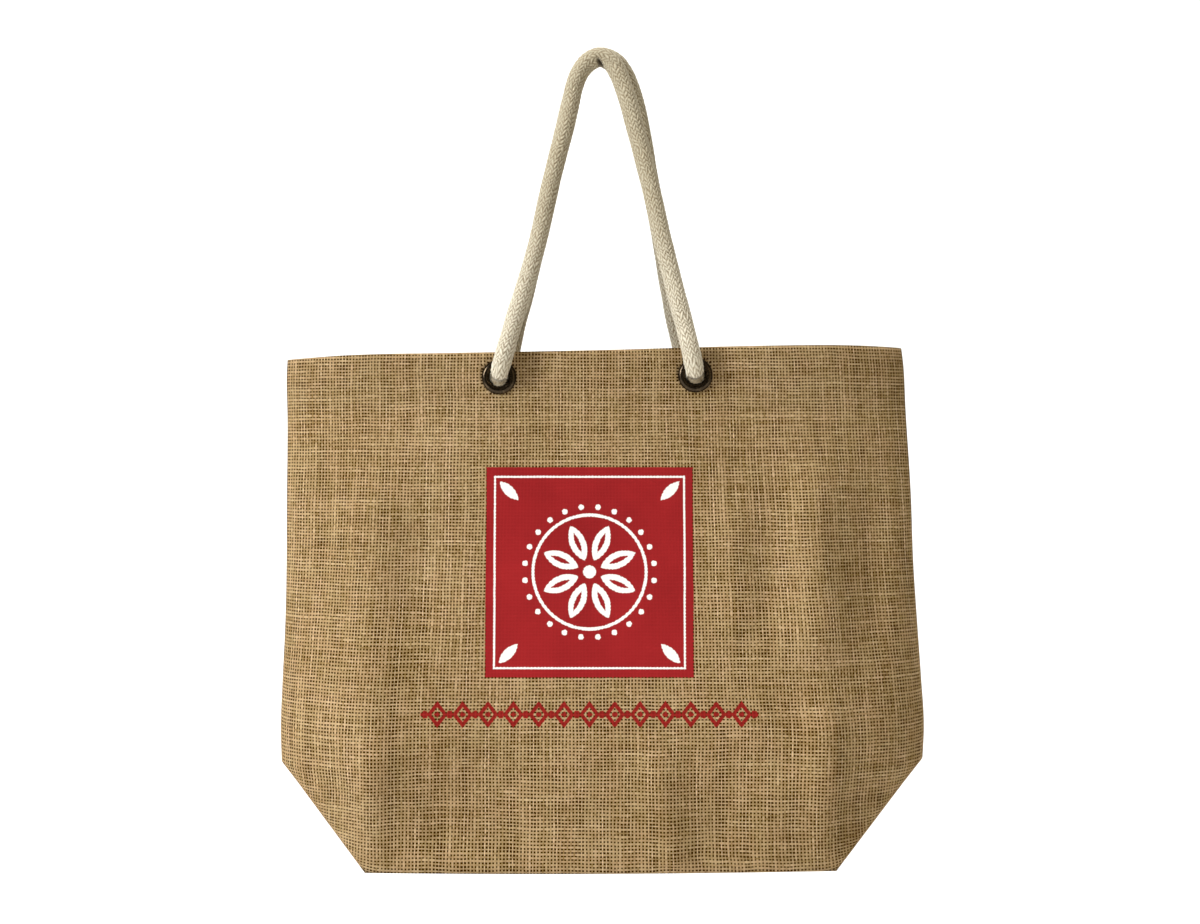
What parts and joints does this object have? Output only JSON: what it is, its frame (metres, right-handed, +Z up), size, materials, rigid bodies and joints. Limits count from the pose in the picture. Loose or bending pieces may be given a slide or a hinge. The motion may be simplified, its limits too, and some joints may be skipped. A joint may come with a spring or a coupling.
{
  "type": "burlap tote bag",
  "caption": "Hanging burlap tote: two panels sewn at the sides, a boxed foot folded inwards, a hemmed mouth, and braided rope handles through metal eyelets, knotted inside.",
  "frame": {"origin": "the point that the bag hangs from, under the bend of both rope handles, on the middle plane between the two panels", "axes": "+Z up, against the bag's weight; -Y towards the front panel; +X to the right as seen from the front"},
  "size_m": [0.4757, 0.1018, 0.5995],
  "materials": {
    "jute": "coarse plain-woven burlap with uneven yarns, matte",
    "dark_brass": "pressed brass, antiqued dark, satin",
    "cotton": "thick braided cotton rope, natural cream, matte"
  },
  "bodies": {
    "root": {"bag_body": "jute", "eyelet_front_left": "dark_brass", "eyelet_front_right": "dark_brass", "eyelet_back_left": "dark_brass", "eyelet_back_right": "dark_brass", "washer_front_left": "dark_brass", "washer_front_right": "dark_brass", "washer_back_left": "dark_brass", "washer_back_right": "dark_brass", "handle_front": "cotton", "handle_back": "cotton", "knot_front_left": "cotton", "knot_front_right": "cotton", "knot_back_left": "cotton", "knot_back_right": "cotton"}
  },
  "joints": []
}
